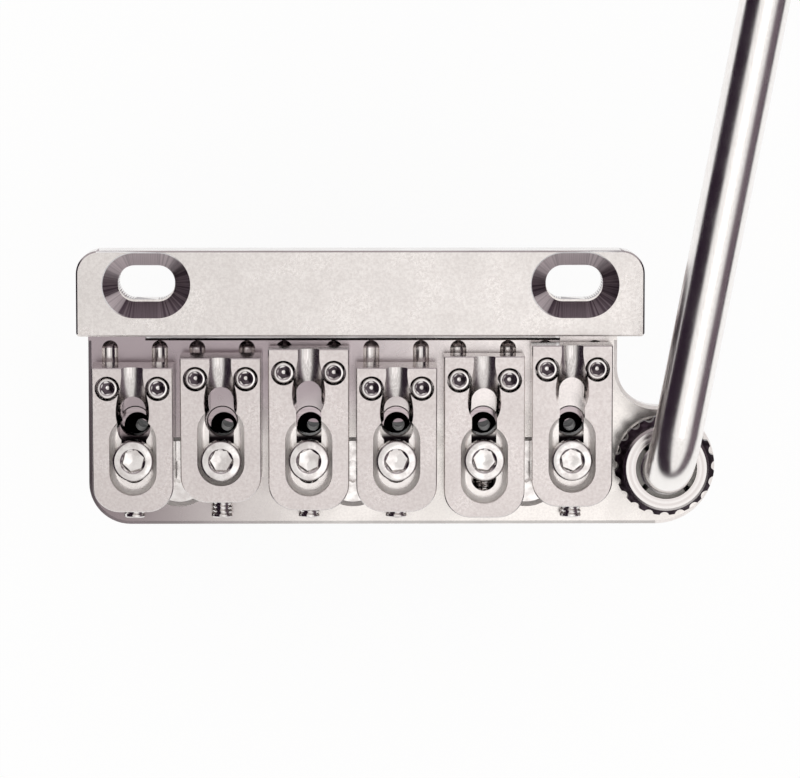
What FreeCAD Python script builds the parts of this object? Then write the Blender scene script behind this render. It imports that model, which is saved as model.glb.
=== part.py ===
import FreeCAD, Part
import math
import os

# A guitar tremolo bridge. Millimetres, +Z out of the guitar's top, +Y towards the neck, +X towards the
# thin strings. The origin lies midway between the two mounting slots, on the face that meets the guitar.

# Strings
string_count = 6
string_pitch = 10.5
string_shift = -0.95

# Front bar, screwed to the guitar
bar_overhang = 7.95
bar_front = 3.9
bar_width = 10.35
bar_height = 6.6
bar_front_corner = 2.8
bar_rear_corner = 0.5
bar_edge_break = 0.2
bar_bevel_run = 0.2
bar_bevel_rise = 0.3
slot_end_margin = 4.95
slot_length = 6.9
slot_width = 4.15
slot_sink_depth = 1.9
slot_sink_shift = -0.25

# Pivot between the bar and the plate
pivot_inset = 1.95
pivot_z = 3.6
knuckle_radius = 1.4
pin_radius = 0.7
pin_end_recess = 0.4
pin_chamfer = 0.2
bearing_radius = 1.6
bearing_width = 2.3
bearing_bore_depth = 2.6
bearing_shield_depth = 0.15
bearing_ring_wall = 0.25

# Base plate
plate_left_inset = 1.35
plate_right_inset = 3.2
plate_gap = 0.3
plate_depth = 22.57
plate_bottom = 2.2
plate_thickness = 3.0
plate_rear_corner = 5.0
plate_bevel = 0.25
plate_bevel_drop = 0.4
plate_edge_break = 0.4
ear_width = 6.9
ear_headroom = 0.6

# Lug that carries the arm
lug_reach = 4.7
lug_radius = 7.15
lug_fillet = 4.7

# Grooves that guide the height screws
groove_radius = 1.0
groove_depth = 0.75
groove_setback = 1.2
groove_run = 9.05

# String holes
string_hole_setback = 10.05
string_hole_radius = 1.75
string_hole_rim = 0.15

# Tremolo block
block_front_setback = 6.85
block_rear_inset = 2.32
block_left_inset = 1.3
block_right_inset = 1.4
block_depth = 34.0
block_chamfer = 1.2
string_mouth_radius = 1.6
string_mouth_depth = 5.0
string_mouth_shift_x = 0.1
string_mouth_shift_y = -0.75
string_channel_radius = 0.75
string_channel_shift_x = 0.35
string_channel_shift_y = -1.2
ball_bore_radius = 2.6
ball_seat_depth = 9.5
spring_hole_count = 5
spring_hole_pitch = 11.0
spring_hole_radius = 1.4
spring_hole_depth = 9.0
spring_hole_inset = 3.4

# Screws that hold the block
block_screw_setback = 16.2
block_screw_radius = 2.0
block_screw_head_radius = 3.7
block_screw_length = 11.0
block_screw_land = 0.25
block_screw_sink = 0.5
block_screw_hex = 2.5
block_screw_hex_depth = 1.5

# Clamp screws that hold the saddles
clamp_setback = 14.25
clamp_shank_radius = 1.4
clamp_head_radius = 2.42
clamp_head_height = 2.4
clamp_head_chamfer = 0.3
clamp_hex = 2.5
clamp_hex_depth = 1.3
clamp_head_gap = 0.4

# Saddles
saddle_width = 9.65
saddle_height = 5.6
short_saddle_length = 17.5
long_saddle_length = 19.4
short_saddle_pitch = 4.5
long_saddle_pitch = 1.0
saddle_rear_corner = 3.2
saddle_edge_break = 0.12
saddle_toe_chamfer = 1.2
saddle_heel_radius = 0.5
saddle_lift = 0.03
saddle_slot_width = 3.0
saddle_slot_start = 4.0
recess_width = 5.65
recess_length = 9.5
recess_depth = 2.4
recess_tail = 1.6
recess_fillet = 0.8
slot_tail = 2.9
crown_radius = 6.0
crown_setback = 0.7
crown_depth = 0.46
string_groove_radius = 2.0

# Front edge of each saddle behind the bar, from the thick string to the thin one
saddle_setbacks = [2.85, 1.7, 1.05, 2.85, 1.95, 0.65]
saddle_is_long = [False, False, True, False, True, True]

# Height screws
height_screw_spacing = 6.0
height_screw_setback = 2.95
height_screw_radius = 1.25
height_hole_radius = 1.485
height_screw_recess = 0.35
height_tip_radius = 0.75
height_tip_length = 0.95
height_hex = 1.3
height_hex_depth = 1.2

# Intonation screws
intonation_radius = 1.3
intonation_hole_clearance = 0.2
intonation_rise = 1.75
intonation_rear_inset = 1.12
intonation_tip_gap = 0.03
intonation_hex = 1.3
intonation_hex_depth = 1.6
intonation_cone = 0.5

# Arm socket, collet and nut
socket_shift_x = 0.65
socket_shift_y = 0.57
socket_radius = 4.5
socket_rise = 7.6
socket_flange_radius = 5.4
socket_flange_height = 0.9
socket_floor = 1.0
collet_wall = 0.6
collet_slit = 0.7
collet_slit_length = 6.0
collet_slit_count = 4
nut_bottom_rise = 4.3
nut_skirt_height = 2.6
nut_skirt_radius = 5.95
nut_skirt_slope = 0.9
nut_scallop_count = 20
nut_scallop_radius = 0.62
nut_scallop_depth = 0.42
nut_ring_radius = 5.1
nut_ring_height = 2.2
nut_ring_chamfer = 0.3
nut_ring_wall = 1.2
nut_bore_radius = 3.65

# Arm
arm_foot_radius = 3.1
arm_radius = 2.9
arm_foot_top_rise = 9.3
arm_foot_chamfer = 0.5
arm_bend_radius = 5.5
arm_run_length = 150.0
arm_heading = 10.4
arm_rise_angle = 6.0
arm_tip_round = 1.6

# Fits and overruns
running_gap = 0.03
thread_gap = 0.02
swing_gap = 0.4
overrun = 1.0

# Directions
right = FreeCAD.Vector(1, 0, 0)
neckward = FreeCAD.Vector(0, 1, 0)
up = FreeCAD.Vector(0, 0, 1)

# Levels and places that follow from the sizes above
string_spread = string_pitch * (string_count - 1)
bar_length = string_spread + bar_overhang * 2
bar_rear = bar_front - bar_width
slot_spacing = bar_length - slot_length - slot_end_margin * 2
pivot_y = bar_rear + pivot_inset
plate_left = plate_left_inset - bar_length / 2
plate_right = bar_length / 2 - plate_right_inset
plate_front = bar_rear - plate_gap
plate_rear = plate_front - plate_depth
plate_top = plate_bottom + plate_thickness
lug_x = plate_right + lug_reach
lug_y = plate_rear + lug_radius
groove_front = plate_front - groove_setback
groove_rear = groove_front - groove_run
string_hole_y = plate_front - string_hole_setback
clamp_y = plate_front - clamp_setback
block_front = plate_front - block_front_setback
block_rear = plate_rear + block_rear_inset
block_left = plate_left + block_left_inset
block_right = plate_right - block_right_inset
block_screw_y = plate_front - block_screw_setback
saddle_fronts = [bar_rear - setback for setback in saddle_setbacks]
intonation_rear = plate_rear + intonation_rear_inset
socket_x = lug_x + socket_shift_x
socket_y = lug_y + socket_shift_y
pocket_ceiling = plate_top + ear_headroom
string_places = [string_shift - string_spread / 2 + n * string_pitch for n in range(string_count)]
block_screw_places = [string_places[n] + string_pitch / 2 for n in range(0, string_count, 2)]
ear_spans = [(plate_left, plate_left + ear_width), (plate_right - ear_width, plate_right)]
groove_floor = plate_top - groove_depth


def at(x, y, z):
    return FreeCAD.Vector(x, y, z)


def box(x0, x1, y0, y1, z0, z1):
    return Part.makeBox(x1 - x0, y1 - y0, z1 - z0, at(x0, y0, z0))


def rod(radius, foot, length, direction=up):
    return Part.makeCylinder(radius, length, foot, direction)


def cone(radius0, radius1, foot, height, direction=up):
    return Part.makeCone(radius0, radius1, height, foot, direction)


def joined(shapes):
    whole = shapes[0].multiFuse(shapes[1:]) if len(shapes) > 1 else shapes[0]
    return whole.removeSplitter()


def less(shape, tools):
    return shape.cut(tools)


def spun(points, centre):
    # A solid of revolution about +Z through centre, from (radius, height) points.
    corners = [at(centre.x + r, centre.y, z) for r, z in points]
    face = Part.Face(Part.makePolygon(corners + corners[:1]))
    return face.revolve(centre, up, 360)


def swept_along_x(points, x0, x1):
    # A prism along X from (y, z) points.
    corners = [at(x0, y, z) for y, z in points]
    return Part.Face(Part.makePolygon(corners + corners[:1])).extrude(right * (x1 - x0))


def hexagon(across, centre, depth, direction=up):
    # A hexagon socket tool whose mouth is at centre, sunk against direction.
    side = neckward if abs(direction.z) > abs(direction.y) else up
    other = direction.cross(side)
    reach = across / math.sqrt(3)
    turns = [math.radians(60 * n) for n in range(6)]
    corners = [centre + side * (reach * math.cos(a)) + other * (reach * math.sin(a)) for a in turns]
    face = Part.Face(Part.makePolygon(corners + corners[:1]))
    return face.extrude(direction * -depth)


def stadium(x, y0, y1, width, z0, z1):
    # An upright slot tool along Y with round ends that reach y0 and y1.
    radius = width / 2
    middle = box(x - radius, x + radius, y0 + radius, y1 - radius, z0, z1)
    ends = [rod(radius, at(x, y, z0), z1 - z0) for y in (y0 + radius, y1 - radius)]
    return joined([middle] + ends)


def rounded(shape, radius, wanted):
    # Rounds the straight upright edges that wanted picks by their middle point.
    edges = [e for e in shape.Edges if is_upright(e) and wanted(e.CenterOfMass)]
    return shape.makeFillet(radius, edges)


def is_upright(edge):
    low, high = edge.BoundBox.ZMin, edge.BoundBox.ZMax
    return abs(edge.Length - (high - low)) < thread_gap and edge.Length > thread_gap


def edges_at_height(shape, z):
    return [e for e in shape.Edges if abs(e.BoundBox.ZMin - z) + abs(e.BoundBox.ZMax - z) < thread_gap]


def save(shape, node):
    shape.exportStep("parts/" + node + ".step")


def sunk_slot(x):
    # One mounting slot along X, with a countersink that lies a little behind it.
    half_run = (slot_length - slot_width) / 2
    radius = slot_width / 2
    seat = slot_sink_shift
    rim = radius + slot_sink_depth
    floor = bar_height - slot_sink_depth
    low, high = -overrun, bar_height + overrun
    ends = [x - half_run, x + half_run]
    bores = [rod(radius, at(e, 0, low), high - low) for e in ends]
    between = box(ends[0], ends[1], -radius, radius, low, high)
    sinks = [cone(radius, rim, at(e, seat, floor), slot_sink_depth) for e in ends]
    trough = [
        (seat - radius, floor),
        (seat + radius, floor),
        (seat + rim, bar_height),
        (seat - rim, bar_height),
    ]
    return joined(bores + [between] + sinks + [swept_along_x(trough, ends[0], ends[1])])


def make_front_bar():
    half = bar_length / 2
    body = box(-half, half, bar_rear, bar_front, 0, bar_height)
    body = rounded(body, bar_front_corner, lambda p: p.y > 0)
    body = rounded(body, bar_rear_corner, lambda p: p.y < bar_rear + bar_rear_corner)
    nose = [e for e in edges_at_height(body, bar_height) if e.BoundBox.YMax > bar_rear + bar_bevel_run]
    body = body.makeChamfer(bar_edge_break, nose)
    bevel = [
        (bar_rear - overrun, bar_height + overrun),
        (bar_rear - overrun, bar_height - bar_bevel_rise),
        (bar_rear, bar_height - bar_bevel_rise),
        (bar_rear + bar_bevel_run, bar_height),
        (bar_rear + bar_bevel_run, bar_height + overrun),
    ]
    tools = [swept_along_x(bevel, -half - overrun, half + overrun)]
    tools += [sunk_slot(side * slot_spacing / 2) for side in (-1, 1)]
    for x0, x1 in ear_spans:
        left, reach = x0 - swing_gap, knuckle_radius + swing_gap
        width = x1 + swing_gap - left
        tools.append(box(left, left + width, bar_rear - overrun, pivot_y, -overrun, pocket_ceiling))
        tools.append(box(left, left + width, pivot_y, pivot_y + reach, -overrun, pivot_z))
        tools.append(rod(reach, at(left, pivot_y, pivot_z), width, right))
    for face_x, inward in bearing_faces():
        tools.append(rod(bearing_radius, at(face_x, pivot_y, pivot_z), bearing_bore_depth, right * inward))
    return less(body, tools)


def bearing_faces():
    # The two inner walls of the ear pockets, each with the way into the bar.
    return [(ear_spans[0][1] + swing_gap, 1), (ear_spans[1][0] - swing_gap, -1)]


def make_pivot_bearings():
    rings = []
    for face_x, inward in bearing_faces():
        seat = at(face_x, pivot_y, pivot_z)
        along = right * inward
        bore = pin_radius + running_gap
        ring = rod(bearing_radius, seat, bearing_width, along)
        shields = []
        for start in (0, bearing_width - bearing_shield_depth):
            foot = seat + along * start
            outer = rod(bearing_radius - bearing_ring_wall, foot, bearing_shield_depth, along)
            inner = rod(bore + bearing_ring_wall, foot, bearing_shield_depth, along)
            shields.append(outer.cut(inner))
        rings.append(less(ring, [rod(bore, seat, bearing_width, along)] + shields))
    return Part.makeCompound(rings)


def make_pivot_pins():
    pins = []
    for (x0, x1), (face_x, inward) in zip(ear_spans, bearing_faces()):
        outer = x0 + pin_end_recess if inward > 0 else x1 - pin_end_recess
        tip = face_x + inward * bearing_width
        pin = rod(pin_radius, at(outer, pivot_y, pivot_z), abs(tip - outer), right * inward)
        pins.append(pin.makeChamfer(pin_chamfer, [e for e in pin.Edges if e.Closed]))
    return Part.makeCompound(pins)


def plate_outline():
    # Clockwise from the front left corner: the right edge runs into the lug through a hollow corner.
    corner = plate_rear_corner
    hollow_x = plate_right + lug_fillet
    hollow_y = lug_y + math.sqrt((lug_radius + lug_fillet) ** 2 - (hollow_x - lug_x) ** 2)
    hollow = at(hollow_x, hollow_y, plate_bottom)
    lug = at(lug_x, lug_y, plate_bottom)
    meet_angle = math.atan2(hollow.y - lug.y, hollow.x - lug.x)

    def on(centre, radius, angle):
        return centre + at(radius * math.cos(angle), radius * math.sin(angle), 0)

    start = at(plate_left, plate_front, plate_bottom)
    front_right = at(plate_right, plate_front, plate_bottom)
    leave = at(plate_right, hollow_y, plate_bottom)
    meet = on(lug, lug_radius, meet_angle)
    hollow_middle = on(hollow, lug_fillet, (math.pi + meet_angle + math.pi) / 2)
    lug_bottom = on(lug, lug_radius, -math.pi / 2)
    lug_middle = on(lug, lug_radius, (meet_angle - math.pi / 2) / 2)
    rear_left = at(plate_left + corner, plate_rear, plate_bottom)
    left_rear = at(plate_left, plate_rear + corner, plate_bottom)
    round_centre = at(plate_left + corner, plate_rear + corner, plate_bottom)
    round_middle = on(round_centre, corner, math.pi * 5 / 4)
    edges = [
        Part.makeLine(start, front_right),
        Part.makeLine(front_right, leave),
        Part.Arc(leave, hollow_middle, meet).toShape(),
        Part.Arc(meet, lug_middle, lug_bottom).toShape(),
        Part.makeLine(lug_bottom, rear_left),
        Part.Arc(rear_left, round_middle, left_rear).toShape(),
        Part.makeLine(left_rear, start),
    ]
    return Part.Face(Part.Wire(edges))


def guide_groove(x):
    # A ball-nosed groove along Y, for the tip of one height screw.
    centre_z = groove_floor + groove_radius
    trough = rod(groove_radius, at(x, groove_rear, centre_z), groove_front - groove_rear, neckward)
    balls = [Part.makeSphere(groove_radius, at(x, y, centre_z)) for y in (groove_front, groove_rear)]
    return joined([trough] + balls)


def make_base_plate():
    slab = plate_outline().extrude(up * plate_thickness)
    rim = [e for e in edges_at_height(slab, plate_top) if e.BoundBox.YMin < plate_front - plate_bevel]
    slab = slab.makeChamfer(plate_edge_break, rim)
    bevel = [
        (plate_front + overrun, plate_top + overrun),
        (plate_front - plate_bevel - overrun, plate_top + overrun),
        (plate_front - plate_bevel, plate_top),
        (plate_front, plate_top - plate_bevel_drop),
        (plate_front + overrun, plate_top - plate_bevel_drop),
    ]
    slab = less(slab, [swept_along_x(bevel, plate_left - overrun, plate_right + overrun)])
    ears = []
    for x0, x1 in ear_spans:
        ears.append(box(x0, x1, plate_front - plate_bevel, pivot_y, plate_bottom, plate_top))
        ears.append(rod(knuckle_radius, at(x0, pivot_y, pivot_z), x1 - x0, right))
    slab = joined([slab] + ears)
    low, high = plate_bottom - overrun, plate_top + overrun
    tools = []
    for x in string_places:
        rim_radius = string_hole_radius + string_hole_rim
        tools.append(rod(string_hole_radius, at(x, string_hole_y, low), high - low))
        rim_foot = at(x, string_hole_y, plate_top - string_hole_rim)
        tools.append(cone(string_hole_radius, rim_radius, rim_foot, string_hole_rim))
        tools.append(rod(clamp_shank_radius + thread_gap, at(x, clamp_y, low), high - low))
        for side in (-1, 1):
            tools.append(guide_groove(x + side * height_screw_spacing / 2))
    for x in block_screw_places:
        tools.append(block_screw_hole(x))
    tools.append(rod(socket_radius + thread_gap, at(socket_x, socket_y, low), high - low))
    for x0, x1 in ear_spans:
        bore = at(x0 - overrun, pivot_y, pivot_z)
        tools.append(rod(pin_radius + thread_gap, bore, x1 - x0 + overrun * 2, right))
    return less(slab, tools)


def block_screw_body(x, gap):
    # Countersunk screw along Z, sunk below the plate's top and grown by gap for its hole.
    head = block_screw_head_radius + gap
    shank = block_screw_radius + gap
    top = plate_top - block_screw_sink
    land = top - block_screw_land
    neck = land - (head - shank)
    foot = top - block_screw_length - gap
    points = [(0, foot), (shank, foot), (shank, neck), (head, land), (head, top), (0, top)]
    return spun(points, at(x, block_screw_y, 0))


def block_screw_hole(x):
    # Room for the screw, with a cone that opens it out of the plate at 45 degrees.
    head = block_screw_head_radius + thread_gap
    rise = block_screw_sink + overrun
    foot = at(x, block_screw_y, plate_top - block_screw_sink)
    return joined([block_screw_body(x, thread_gap), cone(head, head + rise, foot, rise)])


def make_block_screws():
    screws = []
    for x in block_screw_places:
        top = at(x, block_screw_y, plate_top - block_screw_sink)
        socket = hexagon(block_screw_hex, top, block_screw_hex_depth)
        screws.append(less(block_screw_body(x, 0), [socket]))
    return Part.makeCompound(screws)


def make_tremolo_block():
    foot = plate_bottom - block_depth
    body = box(block_left, block_right, block_rear, block_front, foot, plate_bottom)
    body = body.makeChamfer(block_chamfer, edges_at_height(body, foot))
    tools = []
    seat = plate_bottom - ball_seat_depth
    for place in string_places:
        x = place + string_channel_shift_x
        y = string_hole_y + string_channel_shift_y
        mouth_y = string_hole_y + string_mouth_shift_y
        mouth = at(place + string_mouth_shift_x, mouth_y, plate_bottom - string_mouth_depth)
        tools.append(rod(string_mouth_radius, mouth, string_mouth_depth + overrun))
        tools.append(rod(string_channel_radius, at(x, y, seat - overrun), ball_seat_depth))
        tools.append(rod(ball_bore_radius, at(x, y, foot - overrun), seat - foot + overrun))
    for x in block_screw_places:
        tools.append(block_screw_hole(x))
    middle = (block_left + block_right) / 2
    for n in range(spring_hole_count):
        x = middle + (n - (spring_hole_count - 1) / 2) * spring_hole_pitch
        mouth = at(x, block_rear + spring_hole_inset, foot - overrun)
        tools.append(rod(spring_hole_radius, mouth, spring_hole_depth + overrun))
    return less(body, tools)


def saddle_length(n):
    return long_saddle_length if saddle_is_long[n] else short_saddle_length


def saddle_pitch(n):
    return long_saddle_pitch if saddle_is_long[n] else short_saddle_pitch


def saddle_heel(n):
    return saddle_fronts[n] - saddle_length(n)


def saddle_rock(n):
    # Centre of the round heel that the saddle rocks on.
    radius = saddle_heel_radius
    return at(string_places[n], saddle_heel(n) + radius, plate_top + saddle_lift + radius)


def saddle_top_at(n, y):
    # Height of the pitched top face at a place along Y.
    slope = math.radians(saddle_pitch(n))
    rock = saddle_rock(n)
    rise = (saddle_height - saddle_heel_radius) / math.cos(slope)
    return rock.z + rise + (y - rock.y) * math.tan(slope)


def recess_floor(n):
    return saddle_top_at(n, clamp_y) - recess_depth


def make_saddle(n):
    x = string_places[n]
    heel, front = saddle_heel(n), saddle_fronts[n]
    bottom = plate_top + saddle_lift
    top = bottom + saddle_height
    half = saddle_width / 2
    toe, heel_radius = saddle_toe_chamfer, saddle_heel_radius
    rock = saddle_rock(n)
    side = [
        (rock.y, bottom),
        (front - toe, bottom),
        (front, bottom + toe),
        (front, top),
        (heel, top),
        (heel, rock.z),
        (rock.y, rock.z),
    ]
    edge = at(x - half, rock.y, rock.z)
    profile = joined([swept_along_x(side, x - half, x + half), rod(heel_radius, edge, saddle_width, right)])
    plan = box(x - half, x + half, heel, front, bottom, top)
    plan = rounded(plan, saddle_rear_corner, lambda p: p.y < rock.y)
    body = profile.common(plan).removeSplitter()
    body = body.makeChamfer(saddle_edge_break, edges_at_height(body, top))
    crown_z = top - crown_depth - crown_radius
    ring_radius = crown_radius + string_groove_radius
    crown_centre = at(x, front - crown_setback, crown_z)
    body = less(body, [Part.makeTorus(ring_radius, string_groove_radius, crown_centre, right)])
    body.rotate(rock, right, saddle_pitch(n))

    low, high = plate_bottom, top + saddle_height
    recess_rear = heel + recess_tail
    floor = recess_floor(n)
    recess = stadium(x, recess_rear, recess_rear + recess_length, recess_width, floor, high)
    tools = [
        stadium(x, heel + slot_tail, front - saddle_slot_start, saddle_slot_width, low, high),
        recess.makeFillet(recess_fillet, edges_at_height(recess, floor)),
    ]
    for place in height_screw_places(n):
        tools.append(rod(height_hole_radius, at(place.x, place.y, low), high - low))
    hole = intonation_radius + intonation_hole_clearance
    start = at(x, heel - overrun, plate_top + intonation_rise)
    tools.append(rod(hole, start, slot_tail + saddle_slot_width, neckward))
    return less(body, tools)


def height_screw_places(n):
    y = saddle_fronts[n] - height_screw_setback
    return [at(string_places[n] + side * height_screw_spacing / 2, y, 0) for side in (-1, 1)]


def make_height_screws(n):
    screws = []
    for place in height_screw_places(n):
        top = saddle_top_at(n, place.y) - height_screw_recess
        tip = groove_floor + running_gap
        ball = at(place.x, place.y, tip + height_tip_radius)
        shoulder = tip + height_tip_length
        point = rod(height_tip_radius, ball, shoulder - ball.z)
        shank = rod(height_screw_radius, at(place.x, place.y, shoulder), top - shoulder)
        screw = joined([shank, point, Part.makeSphere(height_tip_radius, ball)])
        screws.append(less(screw, [hexagon(height_hex, at(place.x, place.y, top), height_hex_depth)]))
    return Part.makeCompound(screws)


def make_intonation_screw(n):
    x = string_places[n]
    z = plate_top + intonation_rise
    tip = clamp_y - clamp_shank_radius - intonation_tip_gap
    shank = tip - intonation_cone
    body = rod(intonation_radius, at(x, intonation_rear, z), shank - intonation_rear, neckward)
    point = intonation_radius - intonation_cone
    nose = cone(intonation_radius, point, at(x, shank, z), intonation_cone, neckward)
    socket = hexagon(intonation_hex, at(x, intonation_rear, z), intonation_hex_depth, neckward * -1)
    return less(joined([body, nose]), [socket])


def make_clamp_screws():
    screws = []
    for n, x in enumerate(string_places):
        under = recess_floor(n) + clamp_head_gap
        top = under + clamp_head_height
        edge = clamp_head_radius - clamp_head_chamfer
        points = [
            (0, plate_bottom),
            (clamp_shank_radius, plate_bottom),
            (clamp_shank_radius, under),
            (clamp_head_radius, under),
            (clamp_head_radius, top - clamp_head_chamfer),
            (edge, top),
            (0, top),
        ]
        screw = spun(points, at(x, clamp_y, 0))
        screws.append(less(screw, [hexagon(clamp_hex, at(x, clamp_y, top), clamp_hex_depth)]))
    return Part.makeCompound(screws)


def make_arm_socket():
    top = plate_top + socket_rise
    bore = arm_foot_radius + running_gap + collet_wall + thread_gap
    floor = plate_bottom + socket_floor
    flange = plate_top + socket_flange_height
    points = [
        (0, plate_bottom),
        (socket_radius, plate_bottom),
        (socket_radius, plate_top),
        (socket_flange_radius, plate_top),
        (socket_flange_radius, flange),
        (socket_radius, flange),
        (socket_radius, top),
        (bore, top),
        (bore, floor),
        (0, floor),
    ]
    return spun(points, at(socket_x, socket_y, 0))


def make_arm_collet():
    inner = arm_foot_radius + running_gap
    outer = inner + collet_wall
    floor = plate_bottom + socket_floor
    top = plate_top + socket_rise
    tube = rod(outer, at(socket_x, socket_y, floor), top - floor)
    slits = [rod(inner, at(socket_x, socket_y, floor - overrun), top - floor + overrun * 2)]
    half = collet_slit / 2
    for n in range(collet_slit_count):
        slit = box(0, outer + overrun, -half, half, top - collet_slit_length, top + overrun)
        slit.rotate(at(0, 0, 0), up, (n + 1 / 2) * 360 / collet_slit_count)
        slit.translate(at(socket_x, socket_y, 0))
        slits.append(slit)
    return less(tube, slits)


def make_tension_nut():
    bottom = plate_top + nut_bottom_rise
    shelf = bottom + nut_skirt_height
    top = shelf + nut_ring_height
    thread = socket_radius + running_gap
    edge = nut_ring_chamfer
    points = [
        (thread, bottom),
        (nut_skirt_radius - edge, bottom),
        (nut_skirt_radius, bottom + edge),
        (nut_skirt_radius, shelf - nut_skirt_slope),
        (nut_ring_radius, shelf),
        (nut_ring_radius, top - edge),
        (nut_ring_radius - edge, top),
        (nut_bore_radius, top),
        (nut_bore_radius, top - nut_ring_wall),
        (thread, top - nut_ring_wall),
    ]
    nut = spun(points, at(socket_x, socket_y, 0))
    reach = nut_skirt_radius - nut_scallop_depth + nut_scallop_radius
    scallops = []
    for n in range(nut_scallop_count):
        angle = math.radians(n * 360 / nut_scallop_count)
        foot = at(socket_x + reach * math.cos(angle), socket_y + reach * math.sin(angle), bottom)
        scallops.append(rod(nut_scallop_radius, foot, nut_skirt_height))
    return less(nut, scallops)


def make_tremolo_arm():
    # A straight foot, one bend and a long run that climbs gently, all in one upright plane.
    foot_bottom = plate_bottom + socket_floor + swing_gap
    shoulder = plate_top + arm_foot_top_rise
    foot = rod(arm_foot_radius, at(socket_x, socket_y, foot_bottom), shoulder - foot_bottom)
    foot = foot.makeChamfer(arm_foot_chamfer, edges_at_height(foot, foot_bottom))
    neck = arm_foot_radius - arm_radius
    collar = cone(arm_foot_radius, arm_radius, at(socket_x, socket_y, shoulder), neck)
    turn = math.radians(90 - arm_rise_angle)
    heading = math.radians(arm_heading)
    ahead = at(math.sin(heading), math.cos(heading), 0)

    def along(reach, height):
        return at(socket_x, socket_y, shoulder) + ahead * reach + up * height

    def bend_point(angle):
        return along(arm_bend_radius * (1 - math.cos(angle)), neck + arm_bend_radius * math.sin(angle))

    start = along(0, 0)
    bend_start, bend_middle, bend_end = bend_point(0), bend_point(turn / 2), bend_point(turn)
    run = ahead * math.sin(turn) + up * math.cos(turn)
    tip = bend_end + run * arm_run_length
    path = Part.Wire(
        [
            Part.makeLine(start, bend_start),
            Part.Arc(bend_start, bend_middle, bend_end).toShape(),
            Part.makeLine(bend_end, tip),
        ]
    )
    ring = Part.Wire([Part.makeCircle(arm_radius, start, up)])
    stem = path.makePipeShell([ring], True, False)
    far = [e for e in stem.Edges if e.Closed and e.CenterOfMass.distanceToPoint(tip) < arm_radius]
    return joined([foot, collar, stem.makeFillet(arm_tip_round, far)])


os.makedirs("parts", exist_ok=True)
save(make_front_bar(), "front_bar")
save(make_pivot_bearings(), "pivot_bearings")
save(make_pivot_pins(), "pivot_pins")
save(make_base_plate(), "base_plate")
save(make_tremolo_block(), "tremolo_block")
save(make_block_screws(), "block_screws")
save(make_clamp_screws(), "clamp_screws")
for number in range(string_count):
    save(make_saddle(number), f"saddle_{number + 1}")
    save(make_height_screws(number), f"height_screws_{number + 1}")
    save(make_intonation_screw(number), f"intonation_screw_{number + 1}")
save(make_arm_socket(), "arm_socket")
save(make_arm_collet(), "arm_collet")
save(make_tension_nut(), "tension_nut")
save(make_tremolo_arm(), "tremolo_arm")
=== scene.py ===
import bpy
import math
import numpy as np
from mathutils import Matrix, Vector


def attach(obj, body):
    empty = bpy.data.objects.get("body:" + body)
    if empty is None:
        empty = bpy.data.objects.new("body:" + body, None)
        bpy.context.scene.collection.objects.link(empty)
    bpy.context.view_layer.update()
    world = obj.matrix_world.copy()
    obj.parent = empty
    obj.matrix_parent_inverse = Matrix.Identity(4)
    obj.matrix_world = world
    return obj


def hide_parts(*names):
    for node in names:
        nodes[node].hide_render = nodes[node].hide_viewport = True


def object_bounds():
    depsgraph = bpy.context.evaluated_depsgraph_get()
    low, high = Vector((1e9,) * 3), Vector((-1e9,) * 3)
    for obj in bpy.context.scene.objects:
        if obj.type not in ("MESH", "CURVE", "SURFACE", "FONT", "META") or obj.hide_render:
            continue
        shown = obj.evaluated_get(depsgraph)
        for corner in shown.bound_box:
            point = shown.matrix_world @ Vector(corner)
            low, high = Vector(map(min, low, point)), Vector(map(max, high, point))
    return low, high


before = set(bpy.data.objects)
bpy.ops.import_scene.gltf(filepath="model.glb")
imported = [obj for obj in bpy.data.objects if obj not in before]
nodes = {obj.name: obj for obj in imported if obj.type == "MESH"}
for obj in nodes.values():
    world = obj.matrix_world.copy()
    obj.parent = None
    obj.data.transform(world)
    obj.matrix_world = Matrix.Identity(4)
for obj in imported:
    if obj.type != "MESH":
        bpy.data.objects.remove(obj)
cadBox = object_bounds()
scene = bpy.context.scene
scene.view_settings.view_transform = "Standard"
mm = 0.001
# places in the solids, in mm: the strings' x, the screws beside each string and the arm's axis
firstString, stringPitch = -27.2, 10.5
strings = [firstString + stringPitch * n for n in range(6)]
screwSides = (-3, 3)
armAxis = (36.35, -21.6)
print("frame loaded:", len(nodes), "nodes")


def linear(hexColour):
    # sRGB hex to linear: each channel goes through the standard curve, alpha is one
    channel = np.array([int(hexColour[n:n + 2], 16) for n in (1, 3, 5)]) / 255
    curve = np.where(channel <= 0.04045, channel / 12.92, ((channel + 0.055) / 1.055) ** 2.4)
    return (*curve.tolist(), 1.0)


def add(tree, kind, inputs=None, **settings):
    # one node: settings are its properties, inputs its sockets, each a value or another node's socket
    made = tree.nodes.new("ShaderNode" + kind)
    for key, value in settings.items():
        setattr(made, key, value)
    for key, value in (inputs or {}).items():
        if isinstance(value, bpy.types.NodeSocket):
            tree.links.new(value, made.inputs[key])
        else:
            made.inputs[key].default_value = value
    return made


def startMaterial(name):
    # an empty material, its node tree and the place on the object
    material = bpy.data.materials.new(name)
    material.use_nodes = True
    tree = material.node_tree
    tree.nodes.clear()
    return material, tree, add(tree, "TexCoord").outputs["Object"]


def finishMaterial(tree, colour, roughness, normal, metallic=1.0):
    shader = add(tree, "BsdfPrincipled", {"Base Color": colour, "Roughness": roughness, "Normal": normal,
                                          "Metallic": metallic})
    add(tree, "OutputMaterial", {"Surface": shader.outputs["BSDF"]})


def maths(tree, operation, *values):
    return add(tree, "Math", dict(enumerate(values)), operation=operation).outputs[0]


def ramp(tree, value, low, high, outLow=0.0, outHigh=1.0):
    # a value carried smoothly from one span to another
    made = add(tree, "MapRange", {"Value": value, "From Min": low, "From Max": high, "To Min": outLow,
                                  "To Max": outHigh}, interpolation_type="SMOOTHSTEP")
    return made.outputs["Result"]


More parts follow.
